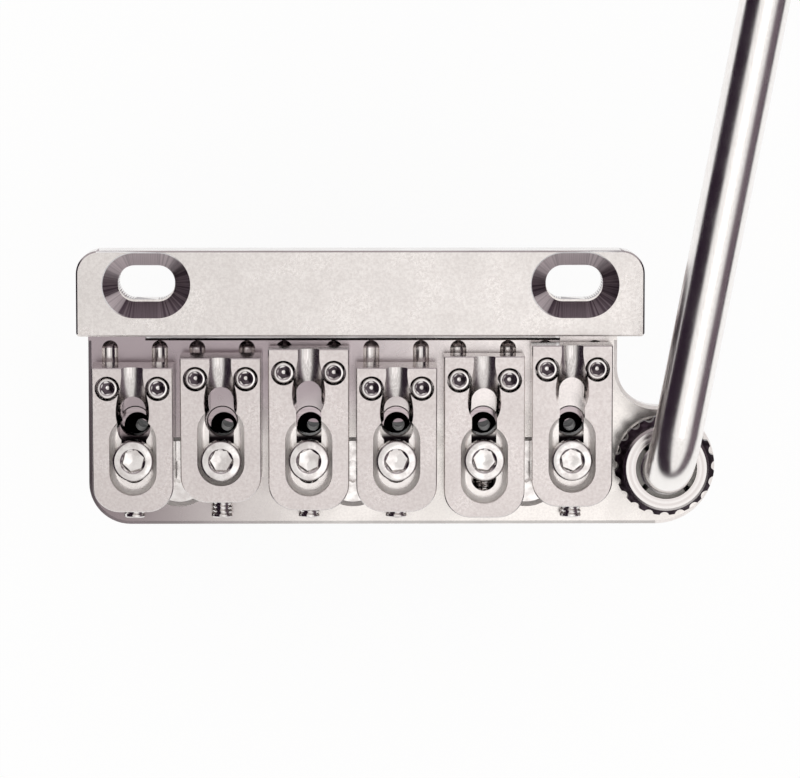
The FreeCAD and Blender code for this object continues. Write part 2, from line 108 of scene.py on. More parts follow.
def spread(tree, value, low=0.0, high=1.0):
    # noise, which lies mostly between 0.3 and 0.7, carried to another span
    return ramp(tree, value, 0.3, 0.7, low, high)


def between(tree, value, edges):
    # one between the two inner edges, falling to nothing at the two outer ones
    closedLow, openLow, openHigh, closedHigh = edges
    rise = ramp(tree, value, closedLow, openLow)
    return maths(tree, "MULTIPLY", rise, ramp(tree, value, openHigh, closedHigh, 1.0, 0.0))


def noise(tree, place, size, detail, roughness=0.5):
    # noise with grains of this size in mm
    made = add(tree, "TexNoise", {"Vector": place, "Scale": 1 / (size * mm), "Detail": detail, "Roughness": roughness})
    return made.outputs["Fac"]


def bumped(tree, height, strength, depth):
    # a normal that follows a height of this depth in mm
    made = add(tree, "Bump", {"Height": height, "Strength": strength, "Distance": depth * mm})
    return made.outputs["Normal"]


def blendColour(tree, factor, first, second):
    # the colours of a mix node are its inputs 6 and 7 and its output 2
    return add(tree, "Mix", {"Factor": factor, 6: first, 7: second}, data_type="RGBA").outputs[2]


def axisValues(tree, vector):
    return add(tree, "SeparateXYZ", {"Vector": vector}).outputs


# Bead-blasted stainless steel: the shot leaves an even frost of fine pits, so it gives one soft reflection.
blasted = {"pit": 0.34, "pitDepth": 0.02, "cloud": 6.0, "cloudShare": 0.2, "roughness": (0.26, 0.32)}


def blastedSteel(name, frost, frostShade, roughness=blasted["roughness"], metallic=1.0):
    material, tree, place = startMaterial(name)
    pits = noise(tree, place, blasted["pit"], 3.0, 0.7)
    cloud = noise(tree, place, blasted["cloud"], 4.0)
    grain = blendColour(tree, spread(tree, pits), linear(frostShade), linear(frost))
    clouded = ramp(tree, cloud, 0.35, 0.65, 0.0, blasted["cloudShare"])
    colour = blendColour(tree, clouded, grain, linear(frostShade))
    normal = bumped(tree, pits, 0.5, blasted["pitDepth"])
    finishMaterial(tree, colour, spread(tree, cloud, *roughness), normal, metallic)
    return material


# Countersunk steel: the cutter leaves fine streaks that run down the cone. The wall towards the neck is duller and
# painted lighter, and so is one patch, both as painted reflection; on one side the rim is painted as a white highlight
# line. Each way is x and y, out of the slot.
sunken = {"light": "#d8cdd0", "dark": "#665b63", "slotX": 25.8, "slotY": -0.25, "straight": 1.375, "streak": 14.0,
          "streakShare": 0.35, "streakDepth": 0.02, "roughness": (0.3, 0.75), "metallic": (1.0, 0.6),
          "rim": (6.44, 6.5), "litWay": (-0.2, 0.98), "sheenPatchWay": (-0.76, -0.65), "rimHighlightWay": (-0.8, 0.6)}


def sunkSteel(name):
    material, tree, place = startMaterial(name)
    spot = axisValues(tree, place)
    # the way out from the slot's middle line: x from the nearer slot, less its straight part, and y
    centre = maths(tree, "MULTIPLY", maths(tree, "SIGN", spot["X"]), sunken["slotX"] * mm)
    along = maths(tree, "SUBTRACT", spot["X"], centre)
    straight = sunken["straight"] * mm
    inner = maths(tree, "MINIMUM", maths(tree, "MAXIMUM", along, -straight), straight)
    across = maths(tree, "SUBTRACT", spot["Y"], sunken["slotY"] * mm)
    outward = add(tree, "CombineXYZ", {"X": maths(tree, "SUBTRACT", along, inner), "Y": across}).outputs["Vector"]
    outward = add(tree, "VectorMath", {0: outward}, operation="NORMALIZE").outputs["Vector"]

    def pointing(way):
        # how nearly the way out of the slot points this way
        return add(tree, "VectorMath", {0: outward, 1: (*way, 0)}, operation="DOT_PRODUCT").outputs["Value"]

    # streaks: noise of the way out, shifted along the straight part, so that it stays the same down the cone
    shift = add(tree, "CombineXYZ", {"Z": maths(tree, "MULTIPLY", inner, 1 / mm)}).outputs["Vector"]
    turned = add(tree, "VectorMath", {0: outward, 1: shift}, operation="ADD").outputs["Vector"]
    streaks = add(tree, "TexNoise", {"Vector": turned, "Scale": sunken["streak"], "Detail": 3.0}).outputs["Fac"]
    fine = ramp(tree, streaks, 0.35, 0.65)
    # painted light: the wall towards the neck and one patch are made lighter, and a white highlight line is painted
    # along one side of the rim
    litSide = ramp(tree, pointing(sunken["litWay"]), 0.15, 0.95)
    patch = ramp(tree, pointing(sunken["sheenPatchWay"]), 0.94, 0.96)
    low, high = sunken["rim"]
    rim = maths(tree, "MULTIPLY", ramp(tree, spot["Z"], low * mm, high * mm),
                ramp(tree, pointing(sunken["rimHighlightWay"]), -0.5, 0.3))
    share = maths(tree, "MAXIMUM", maths(tree, "MAXIMUM", litSide, patch), rim)
    tone = maths(tree, "ADD", maths(tree, "MULTIPLY", fine, sunken["streakShare"]),
                 maths(tree, "MULTIPLY", share, 1 - sunken["streakShare"]))
    colour = blendColour(tree, tone, linear(sunken["dark"]), linear(sunken["light"]))
    colour = blendColour(tree, rim, colour, linear("#ffffff"))
    finishMaterial(tree, colour, ramp(tree, share, 0.0, 1.0, *sunken["roughness"]),
                   bumped(tree, streaks, 0.3, sunken["streakDepth"]), ramp(tree, share, 0.0, 1.0, *sunken["metallic"]))
    return material


# Polished stainless steel: ground along one way and buffed, so it mirrors its surroundings with faint hairlines.
polished = {"bright": "#e9e5e3", "shade": "#cfc9c7", "hair": 0.09, "hairLength": 6.0, "hairDepth": 0.006, "cloud": 4.0}


def polishedSteel(name, along, hairs, roughness, bright=polished["bright"], shade=polished["shade"]):
    # along is the axis that the hairlines follow: 0, 1 or 2
    material, tree, place = startMaterial(name)
    scale = [1 / (polished["hair"] * mm)] * 3
    scale[along] = 1 / (polished["hairLength"] * mm)
    stretched = add(tree, "Mapping", {"Vector": place, "Scale": scale}).outputs["Vector"]
    hair = add(tree, "TexNoise", {"Vector": stretched, "Scale": 1.0, "Detail": 2.0}).outputs["Fac"]
    cloud = noise(tree, place, polished["cloud"], 3.0)
    colour = blendColour(tree, ramp(tree, hair, 0.35, 0.7), linear(shade), linear(bright))
    finishMaterial(tree, colour, spread(tree, cloud, *roughness), bumped(tree, hair, hairs, polished["hairDepth"]))
    return material


# Plate steel: buffed to a bright finish behind the saddles and left satin in front of them. Painted shade darkens the
# rear towards the end away from the arm; the front is darker for its satin and for painted shade of the bar and
# saddles, and pales towards the arm; painted shade also darkens the steel in front of each clamp screw. Edges are x or
# y in mm.
plateFinish = {"satin": "#a5999d", "paleFront": "#e4dddb", "buffed": "#e3deda", "paintedShadeEnd": "#8a7e81", "paleFrontX": (-8.0, 18.0),
               "satinY": (-20.0, -12.0), "paintedShadeX": (-33.0, 0.0), "lugX": (29.0, 31.0), "grain": 0.25,
               "grainShare": 0.12, "grainDepth": 0.008, "cloud": 5.0, "roughness": (0.2, 0.3), "holeShade": "#2e252a",
               "holeShadeSide": (1.4, 2.2), "holeShadeY": (-22.4, -21.8, -18.8, -18.2)}


def plateSteel(name):
    material, tree, place = startMaterial(name)
    spot = axisValues(tree, place)

    def rise(axis, edges):
        return ramp(tree, spot[axis], edges[0] * mm, edges[1] * mm)

    grain = noise(tree, place, plateFinish["grain"], 3.0)
    cloud = noise(tree, place, plateFinish["cloud"], 3.0)
    paintedShadeEnd, buffed, satin, paleFront = [linear(plateFinish[key]) for key in ("paintedShadeEnd", "buffed", "satin", "paleFront")]
    # painted shade: the rear fades darker towards the end away from the arm; the front's darker satin is partly painted
    # shade of the bar and saddles, and it pales towards the arm
    rear = blendColour(tree, rise("X", plateFinish["paintedShadeX"]), paintedShadeEnd, buffed)
    front = blendColour(tree, rise("X", plateFinish["paleFrontX"]), satin, paleFront)
    # the lug keeps the rear's finish
    besideLug = maths(tree, "SUBTRACT", 1.0, rise("X", plateFinish["lugX"]))
    colour = blendColour(tree, maths(tree, "MULTIPLY", rise("Y", plateFinish["satinY"]), besideLug), rear, front)
    speck = ramp(tree, grain, 0.35, 0.7, 0.0, plateFinish["grainShare"])
    colour = blendColour(tree, speck, colour, satin)
    # painted shade darkens the steel in front of each clamp screw, round the string hole: x wraps round to the first
    # string's place
    wrapped = maths(tree, "WRAP", spot["X"], (firstString + stringPitch / 2) * mm, (firstString - stringPitch / 2) * mm)
    core, rim = plateFinish["holeShadeSide"]
    aside = between(tree, wrapped, [(firstString + edge) * mm for edge in (-rim, -core, core, rim)])
    holeShadeMask = maths(tree, "MULTIPLY", aside, between(tree, spot["Y"], [edge * mm for edge in plateFinish["holeShadeY"]]))
    colour = blendColour(tree, maths(tree, "MULTIPLY", holeShadeMask, besideLug), colour, linear(plateFinish["holeShade"]))
    finishMaterial(tree, colour, spread(tree, cloud, *plateFinish["roughness"]),
                   bumped(tree, grain, 0.15, plateFinish["grainDepth"]))
    return material


# Bright turned screw steel: the tool leaves a fine grain, and handling leaves small dull patches.
turned = {"patch": 1.2, "grain": 0.1, "grainDepth": 0.006}


def turnedSteel(name, bright, shade, roughness):
    material, tree, place = startMaterial(name)
    patch = noise(tree, place, turned["patch"], 4.0)
    grain = noise(tree, place, turned["grain"], 2.0)
    colour = blendColour(tree, ramp(tree, patch, 0.35, 0.7), linear(bright), linear(shade))
    finishMaterial(tree, colour, spread(tree, patch, *roughness), bumped(tree, grain, 0.12, turned["grainDepth"]))
    return material


# Blackened steel: a chemical black in the knurls, worn a little on its high spots; the bores get the same dark as
# painted shade.
blackened = {"wear": 0.7, "wearDepth": 0.02}


def blackenedSteel(name, dark, worn, roughness):
    material, tree, place = startMaterial(name)
    wear = noise(tree, place, blackened["wear"], 4.0)
    colour = blendColour(tree, ramp(tree, wear, 0.4, 0.75), linear(dark), linear(worn))
    finishMaterial(tree, colour, spread(tree, wear, *roughness), bumped(tree, wear, 0.2, blackened["wearDepth"]))
    return material


# Faced steel: turned on its flat face, so fine rings run round the arm's axis.
faced = {"ring": 0.3, "ringDepth": 0.02}


def facedSteel(name, bright, shade, roughness):
    material, tree, place = startMaterial(name)
    x, y = armAxis
    centred = add(tree, "Mapping", {"Vector": place, "Location": (-x * mm, -y * mm, 0)}).outputs["Vector"]
    flat = add(tree, "VectorMath", {0: centred, 1: (1, 1, 0)}, operation="MULTIPLY").outputs["Vector"]
    reach = add(tree, "VectorMath", {0: flat}, operation="LENGTH").outputs["Value"]
    # noise of the distance from the axis alone, counted in rings
    count = maths(tree, "MULTIPLY", reach, 1 / (faced["ring"] * mm))
    rings = add(tree, "TexNoise", {"W": count, "Scale": 1.0, "Detail": 1.0}, noise_dimensions="1D").outputs["Fac"]
    colour = blendColour(tree, ramp(tree, rings, 0.35, 0.65), linear(shade), linear(bright))
    finishMaterial(tree, colour, spread(tree, rings, *roughness), bumped(tree, rings, 0.35, faced["ringDepth"]))
    return material


# Milled block steel: a face mill leaves overlapping arcs. The wave's scale of one in 4 mm draws them about 1.3 mm
# apart, so that they show.
milled = {"wave": 4.0, "centreDrop": 60.0, "arcDepth": 0.02, "light": "#b3aeac", "dark": "#aaa5a3", "cloud": 3.0,
          "roughness": (0.27, 0.31)}


def milledSteel(name):
    material, tree, place = startMaterial(name)
    centred = add(tree, "Mapping", {"Vector": place, "Location": (0, 0, milled["centreDrop"] * mm)}).outputs["Vector"]
    arcs = add(tree, "TexWave", {"Vector": centred, "Scale": 1 / (milled["wave"] * mm), "Distortion": 0.5,
                                 "Detail": 2.0}, wave_type="RINGS", rings_direction="Y").outputs["Fac"]
    cloud = noise(tree, place, milled["cloud"], 5.0)
    colour = blendColour(tree, ramp(tree, arcs, 0.2, 0.8), linear(milled["light"]), linear(milled["dark"]))
    normal = bumped(tree, arcs, 0.25, milled["arcDepth"])
    finishMaterial(tree, colour, spread(tree, cloud, *milled["roughness"]), normal)
    return material


# Turned acetal: an ivory plastic with a waxy sheen and faint tool marks.
acetal = {"light": "#dcd9d4", "dark": "#cac6c1", "mark": 0.8, "markDepth": 0.01, "roughness": (0.38, 0.5)}


def turnedAcetal(name):
    material, tree, place = startMaterial(name)
    marks = noise(tree, place, acetal["mark"], 3.0)
    colour = blendColour(tree, marks, linear(acetal["light"]), linear(acetal["dark"]))
    normal = bumped(tree, marks, 0.1, acetal["markDepth"])
    finishMaterial(tree, colour, spread(tree, marks, *acetal["roughness"]), normal, 0.0)
    return material


def dress(name, *materials):
    piece = nodes[name]
    piece.data.materials.clear()
    for material in materials:
        piece.data.materials.append(material)


def faceValues(name, key, width):
    # one row for every face of a CAD node
    faces = nodes[name].data.polygons
    values = np.empty(len(faces) * width)
    faces.foreach_get(key, values)
    return values.reshape(-1, width)


def faceCentres(name):
    return faceValues(name, "center", 3) / mm


def dressFaces(name, choice):
    # choice holds the material's number for each face
    nodes[name].data.polygons.foreach_set("material_index", choice.astype(np.int32))


def reachFrom(centres, places):
    # distance in x and y from each centre to the nearest of these places
    return np.hypot(*(centres[:, None, :2] - np.array(places)).transpose(2, 0, 1)).min(axis=1)


def within(values, span):
    return (values > span[0]) & (values < span[1])


barFrost = blastedSteel("bead_blasted_bar_steel", "#e5e0dd", "#d4cecb")
saddleFrost = blastedSteel("bead_blasted_saddle_steel", "#d9d2d0", "#c8bfbd")
# the floor and recess frosts are near-white copies of the bead-blasted steel: painted light on hollows and edges
floorLitFrost = blastedSteel("bead_blasted_floor_steel_painted_light", "#fbf6f3", "#efe8e5", (0.2, 0.26), 0.7)
recessLitFrost = blastedSteel("bead_blasted_recess_steel_painted_light", "#fdf8f5", "#f0e9e6", (0.3, 0.42), 0.12)
barSink = sunkSteel("countersunk_bar_steel")
sidePolish = polishedSteel("polished_side_steel", 1, 0.03, (0.14, 0.2))
edgePolish = polishedSteel("polished_edge_steel", 0, 0.02, (0.04, 0.08))
grooveSteel = polishedSteel("brushed_groove_steel", 1, 0.04, (0.22, 0.28))
# the seat is a darker copy of the polished steel: painted shade under the plate
seatShadeSteel = polishedSteel("polished_seat_steel_painted_shade", 0, 0.02, (0.08, 0.14), "#b5a9ab", "#a3979a")
armSteel = polishedSteel("buffed_arm_steel", 1, 0.01, (0.2, 0.26), "#fdfaf8", "#f3efec")
bridgeSteel = plateSteel("part_buffed_plate_steel")
screwSteel = turnedSteel("bright_screw_steel", "#e4e0de", "#cbc5c3", (0.08, 0.18))
# a dark copy of the screw steel: painted shade inside the hexagon sockets
socketSteel = turnedSteel("painted_shade_socket_steel", "#5a5056", "#3d343a", (0.2, 0.3))
bearingSteel = turnedSteel("bearing_steel", "#d2cecc", "#b9b4b2", (0.12, 0.22))
nutSteel = facedSteel("faced_nut_steel", "#dad6d4", "#c7c1bf", (0.14, 0.24))
knurlBlack = blackenedSteel("blackened_knurl_steel", "#2c2129", "#574a54", (0.3, 0.45))
boreShade = blackenedSteel("painted_shade_bore_steel", "#0d090c", "#1a1418", (0.55, 0.7))
blockSteel = milledSteel("milled_block_steel")
sleevePlastic = turnedAcetal("turned_acetal")

# Bar: a frosted top, streaked countersinks, and polished sides and broken edges, apart from the rear edge, which gets
# the lighter recess frost, painted light. Faces are told apart by place in mm and by how far they face up or back.
barFaces = {"sinkX": 6.0, "sinkY": 4.2, "sinkLow": 3.0, "edgeLow": 5.0, "flat": 0.99, "sinkUp": 0.9, "edgeUp": 0.3,
            "rear": -0.4}
dress("front_bar", barFrost, sidePolish, barSink, edgePolish, recessLitFrost)
centres, normals = faceCentres("front_bar"), faceValues("front_bar", "normal", 3)
sink = (abs(abs(centres[:, 0]) - sunken["slotX"]) < barFaces["sinkX"]) & (abs(centres[:, 1]) < barFaces["sinkY"])
sink &= (centres[:, 2] > barFaces["sinkLow"]) & (normals[:, 2] < barFaces["sinkUp"])
edge = (normals[:, 2] > barFaces["edgeUp"]) & (centres[:, 2] > barFaces["edgeLow"])
edge = np.where(edge, np.where(normals[:, 1] < barFaces["rear"], 4, 3), 1)
dressFaces("front_bar", np.where(sink, 2, np.where(normals[:, 2] > barFaces["flat"], 0, edge)))

# Plate: the grooves that guide the height screws are polished; the seats of the block screws and the slanted edge
# beside the arm get the lighter recess frost, painted light.
plateFaces = {"grooveSide": 1.05, "grooveZ": (4.43, 5.17), "grooveY": (-19.0, -8.0), "seatY": -22.95, "seatReach": 4.4,
              "slant": (0.2, 0.97), "armX": 29.0}
dress("base_plate", bridgeSteel, sidePolish, recessLitFrost)
centres, normals = faceCentres("base_plate"), faceValues("base_plate", "normal", 3)
grooves = np.array([x + side for x in strings for side in screwSides])
inGroove = abs(centres[:, :1] - grooves).min(axis=1) < plateFaces["grooveSide"]
inGroove &= within(centres[:, 2], plateFaces["grooveZ"]) & within(centres[:, 1], plateFaces["grooveY"])
reach = reachFrom(centres, [(x + stringPitch / 2, plateFaces["seatY"]) for x in strings[::2]])
inSeat = within(normals[:, 2], plateFaces["slant"])
inSeat &= (reach < plateFaces["seatReach"]) | (centres[:, 0] > plateFaces["armX"])
dressFaces("base_plate", np.where(inGroove, 1, np.where(inSeat, 2, 0)))

# Block: milled, with a polished seat under the plate painted darker as shade, and bores painted black as shade; the
# narrow string channels stay bare.
blockFaces = {"boreShift": 0.35, "boreY": -18.0, "boreReach": 2.7, "channelReach": 0.8, "boreLow": -31.0,
              "seatLow": 2.0}
dress("tremolo_block", blockSteel, boreShade, seatShadeSteel)
centres, normals = faceCentres("tremolo_block"), faceValues("tremolo_block", "normal", 3)
reach = reachFrom(centres, [(x + blockFaces["boreShift"], blockFaces["boreY"]) for x in strings])
channel = (reach < blockFaces["channelReach"]) & (abs(normals[:, 2]) < 0.1)
shadedBore = (reach < blockFaces["boreReach"]) & (centres[:, 2] > blockFaces["boreLow"]) & ~channel
seat = (normals[:, 2] > 0.9) & (centres[:, 2] > blockFaces["seatLow"])
dressFaces("tremolo_block", np.where(seat, 2, np.where(shadedBore, 1, 0)))

# Nut: faced steel, with a blackened scalloped edge.
scallopReach = 5.2
dress("tension_nut", nutSteel, knurlBlack)
dressFaces("tension_nut", np.where(reachFrom(faceCentres("tension_nut"), [armAxis]) > scallopReach, 1, 0))

for name, material in (("arm_socket", nutSteel), ("tremolo_arm", armSteel), ("arm_collet", sleevePlastic),
                       ("block_screws", screwSteel), ("clamp_screws", screwSteel), ("pivot_pins", bearingSteel),
                       ("pivot_bearings", bearingSteel)):
    dress(name, material)

# Saddles: the frosted top is the plane of the highest large face, the recess behind the string slot has the lighter
# recess frost with a still lighter floor, both painted light, the string groove is brushed, and the rest is polished.
# Depths are under the top, in mm.
saddleFaces = {"largeShare": 0.2, "deep": 0.5, "shallow": 0.06, "slotEnd": 5.0, "recessStart": 0.43, "heel": 1.2,
               "recessSide": 3.3, "steep": 0.08, "floorUp": 0.97, "grooveEnd": 4.5, "grooveSide": 1.5, "grooveUp": 0.2}
for number, x in enumerate(strings, 1):
    name = f"saddle_{number}"
    dress(name, saddleFrost, sidePolish, recessLitFrost, floorLitFrost, grooveSteel)
    centres, normals, areas = faceCentres(name), faceValues(name, "normal", 3), faceValues(name, "area", 1)[:, 0]
    upward = normals[:, 2]
    size = np.minimum(areas / areas.max(), saddleFaces["largeShare"])
    best = int(np.argmax(np.where(upward > 0.9, centres[:, 2] * size, 0)))
    above = (centres - centres[best]) @ normals[best]
    top = (normals @ normals[best] > 0.9995) & (abs(above) < 0.02)
    behind = centres[:, 1].max() - centres[:, 1]
    aside = abs(centres[:, 0] - x)
    recess = (upward > 0.5) & (above < -saddleFaces["deep"]) & (behind > saddleFaces["slotEnd"])
    wall = (upward > saddleFaces["steep"]) & (above < -saddleFaces["shallow"]) & (aside < saddleFaces["recessSide"])
    wall &= within(behind, (saddleFaces["recessStart"] * behind.max(), behind.max() - saddleFaces["heel"]))
    recess = np.where(upward > saddleFaces["floorUp"], 3, 2) * (recess | wall)
    groove = (behind < saddleFaces["grooveEnd"]) & (aside < saddleFaces["grooveSide"])
    groove &= upward > saddleFaces["grooveUp"]
    dressFaces(name, np.where(top, 0, np.where(recess > 0, recess, np.where(groove, 4, 1))))
    dress(f"height_screws_{number}", screwSteel)
    dress(f"intonation_screw_{number}", screwSteel)
print("materials made:", len(bpy.data.materials))

# Turned pieces: screws with threads and hexagon sockets, each a profile carried round its own axis.
columns = 48
around = np.arange(columns) * 2 * np.pi / columns


def hexagonWall(across, turn=0):
    # distance from the axis to a hexagon's wall: half its width over the cosine of the angle from the nearest flat
    return across / 2 / np.cos((around + turn + np.pi / 6) % (np.pi / 3) - np.pi / 6)


def threadRows(radius, depth, pitch, start, end):
    # a thread: the radius falls by a triangle wave of height over pitch plus one turn round, fading at both ends
    heights = np.linspace(start, end, int(abs(end - start) / pitch * 8) + 2)
    fade = np.clip(np.minimum(abs(heights - start), abs(heights - end)) / pitch, 0, 1)
    phase = heights[:, None] / pitch + around[None, :] / (2 * np.pi)
    wave = 1 - abs(2 * (phase % 1) - 1)
    return list(zip(radius - depth * wave * fade[:, None], heights))


def arcRows(radius, height, size, start, end, steps=6):
    # a rounded edge: part of a circle of this size round (radius, height), from one angle to another
    angles = np.radians(np.linspace(start, end, steps))
    return [(radius + size * math.cos(a), height + size * math.sin(a)) for a in angles]


def turnedShape(rows):
    # rows run from the tip up the outside and down into the socket; the first and last close in a point
    radius = np.array([np.broadcast_to(r, columns) for r, h in rows])
    height = np.array([np.broadcast_to(h, columns) for r, h in rows])
    points = np.stack([radius * np.cos(around), radius * np.sin(around), height], axis=-1)
    body = points[1:-1].reshape(-1, 3)
    index = np.arange(len(body)).reshape(-1, columns)
    onward = np.roll(index, -1, axis=1)
    panels = np.stack([index[:-1], onward[:-1], onward[1:], index[1:]], axis=-1).reshape(-1, 4).tolist()
    tip, foot = len(body), len(body) + 1
    panels += np.stack([onward[0], index[0], np.full(columns, tip)], axis=-1).tolist()
    panels += np.stack([index[-1], onward[-1], np.full(columns, foot)], axis=-1).tolist()
    return np.concatenate([body, points[0, :1], points[-1, :1]]), panels


sharpAngle = 32


def meshPiece(name, shapes, body, node, socketRows=0):
    # joins shapes of (points in mm, faces) into one piece that stands for a CAD node; with socketRows, the last rows of
    # each shape are its socket, which gets the dark socket steel as painted shade
    points, faces = [], []
    for corners, panels in shapes:
        start = sum(len(done) for done in points)
        faces += [[n + start for n in panel] for panel in panels]
        points.append(corners)
    mesh = bpy.data.meshes.new(name)
    mesh.from_pydata((np.concatenate(points) * mm).tolist(), [], faces)
    mesh.shade_smooth()
    mesh.set_sharp_from_angle(angle=math.radians(sharpAngle))
    mesh.materials.append(screwSteel)
    if socketRows:
        mesh.materials.append(socketSteel)
        # the rings come before the two closing fans, so the socket's rings are the last ones ahead of these
        inSocket = [-columns * (socketRows + 2) <= n - len(panels) < -columns * 2
                    for corners, panels in shapes for n in range(len(panels))]
        mesh.polygons.foreach_set("material_index", np.array(inSocket, np.int32))
    made = bpy.data.objects.new(name, mesh)
    scene.collection.objects.link(made)
    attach(made, body)
    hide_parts(node)


def nodeBox(name, x, reach):
    # lowest and highest corner, in mm, of the part of a CAD node that lies within reach of x
    corners = np.empty(len(nodes[name].data.vertices) * 3, np.float32)
    nodes[name].data.vertices.foreach_get("co", corners)
    corners = corners.reshape(-1, 3) / mm
    near = corners[abs(corners[:, 0] - x) < reach]
    return near.min(axis=0), near.max(axis=0)


# how far each string's screws are turned, in radians
screwTurns = [0.25, 0.52, 0.1, 0.4, 0.7, 0.9]
clampScrew = {"head": 2.42, "headHeight": 2.4, "shank": 1.4, "thread": 0.22, "hexagon": 2.5, "depth": 1.3,
              "round": 0.26, "break": 0.1, "mouth": (1.52, 1.42), "pitch": 0.5}
heightScrew = {"radius": 1.25, "tip": 0.75, "tipLength": 0.95, "thread": 0.18, "hexagon": 1.3, "depth": 1.2,
               "point": 0.24, "edge": 0.2, "mouth": (0.92, 0.8), "pitch": 0.45}
intonationScrew = {"radius": 1.3, "thread": 0.16, "hexagon": 1.3, "depth": 1.5, "edge": 0.16, "mouth": 0.86,
                   "lead": 0.45, "pitch": 0.5}


def clampRows(low, high, turn):
    size = clampScrew
    under, floor = high - size["headHeight"], high - size["depth"]
    wall = hexagonWall(size["hexagon"], turn)
    rows = [(0, low), (size["shank"] - 0.2, low)]
    rows += threadRows(size["shank"], size["thread"], size["pitch"], low + 0.2, under - 0.1)
    rows += [(size["shank"], under), (size["head"] - size["break"], under), (size["head"], under + size["break"])]
    rows += arcRows(size["head"] - size["round"], high - size["round"], size["round"], 0, 90)
    rows += [(size["mouth"][0], high), (np.maximum(wall, size["mouth"][1]), high - 0.08), (wall, high - 0.16)]
    return rows + [(wall, floor + 0.12), (wall - 0.12, floor + 0.02), (0.4, floor), (0, floor - 0.08)]


def heightRows(low, high, turn):
    size = heightScrew
    shoulder, floor = low + size["tipLength"], high - size["depth"]
    wall = hexagonWall(size["hexagon"], turn)
    rows = [(0, low)] + arcRows(0, low + size["tip"], size["tip"], -75, 0)
    rows += [(size["tip"], shoulder), (size["radius"] - size["edge"], shoulder)]
    rows += threadRows(size["radius"], size["thread"], size["pitch"], shoulder + size["edge"], high - size["edge"])
    rows += arcRows(size["radius"] - size["edge"], high - size["edge"], size["edge"], 0, 90, 4)
    rows += [(size["mouth"][0], high), (np.maximum(wall, size["mouth"][1]), high - 0.1), (wall, high - 0.16)]
    return rows + [(wall, floor + 0.22), (size["point"], floor + 0.08), (0, floor)]


def intonationRows(front, rear):
    # heights run backwards along the screw, so both ends are measured as minus y
    size = intonationScrew
    wall, floor = hexagonWall(size["hexagon"]), -rear - size["depth"]
    rows = [(0, -front), (size["radius"] - 0.5, -front), (size["radius"] - 0.05, -front + size["lead"])]
    rows += threadRows(size["radius"], size["thread"], size["pitch"], -front + 0.5, -rear - size["edge"])
    rows += [(size["radius"] - size["edge"], -rear), (size["mouth"], -rear), (wall, -rear - 0.12)]
    return rows + [(wall, floor + 0.22), (0, floor)]


clamps = []
for number, (x, turn) in enumerate(zip(strings, screwTurns), 1):
    low, high = nodeBox("clamp_screws", x, 3)
    corners, panels = turnedShape(clampRows(low[2], high[2], turn))
    clamps.append((corners + (x, (low[1] + high[1]) / 2, 0), panels))
    pair = []
    for side in screwSides:
        low, high = nodeBox(f"height_screws_{number}", x + side, 2)
        corners, panels = turnedShape(heightRows(low[2], high[2], turn + side))
        pair.append((corners + (x + side, (low[1] + high[1]) / 2, 0), panels))
    meshPiece(f"heightPair{number}", pair, f"height_screws_{number}", f"height_screws_{number}", 2)
    low, high = nodeBox(f"intonation_screw_{number}", x, 2)
    corners, panels = turnedShape(intonationRows(high[1], low[1]))
    # laid along y: the profile's height becomes minus y, and its second axis becomes z
    corners = np.stack([corners[:, 0] + x, -corners[:, 2], corners[:, 1] + (low[2] + high[2]) / 2], axis=-1)
    meshPiece(f"lengthScrew{number}", [(corners, panels)], f"intonation_screw_{number}", f"intonation_screw_{number}")
meshPiece("clampScrews", clamps, "bridge_plate", "clamp_screws")
print("screws turned")

# Studio: a white floor in an even pale room, and a dark tent that only the metal mirrors. The tent has one soft
# window overhead, wider towards the arm and widest to the rear; its edges are slopes, as tangents from the upright.
# The tent is paler towards the neck, from one share of its radius to another.
studio = {"floorSide": 8000.0, "floorDrop": 0.5, "floor": "#f7f6f5", "floorShare": 0.92, "floorWhite": (220.0, 420.0),
          "floorStretch": 0.5, "shade": "#a39398", "shadeX": (-30.5, -29.5, 28.0, 29.0),
          "shadeY": (-22.0, -21.0, -15.0, -14.0), "room": "#fbfaf9", "roomStrength": 1.0, "tentRadius": 1200.0,
          "tentDark": "#2a1f2b", "tentGrey": "#6a5d66", "tentPale": "#bfb7bb", "tentSide": (-0.5, 1.0),
          "tentNeck": (0.35, 0.7), "windowX": (-0.62, -0.36, 0.75, 1.9), "windowY": (-9.0, -3.0, 0.9, 1.8)}


def stagePiece(name, points, panels, material):
    mesh = bpy.data.meshes.new(name)
    mesh.from_pydata((points * mm).tolist(), [], panels.tolist())
    mesh.materials.append(material)
    made = bpy.data.objects.new(name, mesh)
    scene.collection.objects.link(made)
    return made


floorPaint, tree, place = startMaterial("white_floor")
way = axisValues(tree, place)
ray = add(tree, "LightPath").outputs
# seen by the camera the floor is white, with a strip of painted shade under the block. At rest the strip shows only
# through the string channels; where the block tilts away it shows as a mark on the floor.
shaded = maths(tree, "MULTIPLY", between(tree, way["X"], [edge * mm for edge in studio["shadeX"]]),
               between(tree, way["Y"], [edge * mm for edge in studio["shadeY"]]))
paper = add(tree, "Emission", {"Color": blendColour(tree, shaded, linear("#ffffff"), linear(studio["shade"])),
                               "Strength": 1.0}).outputs[0]
lit = add(tree, "BsdfDiffuse", {"Color": linear(studio["floor"])}).outputs[0]
seen = maths(tree, "MAXIMUM", ray["Is Camera Ray"], ray["Is Transmission Ray"])
surface = add(tree, "MixShader", {0: maths(tree, "MULTIPLY", seen, studio["floorShare"]), 1: lit, 2: paper}).outputs[0]
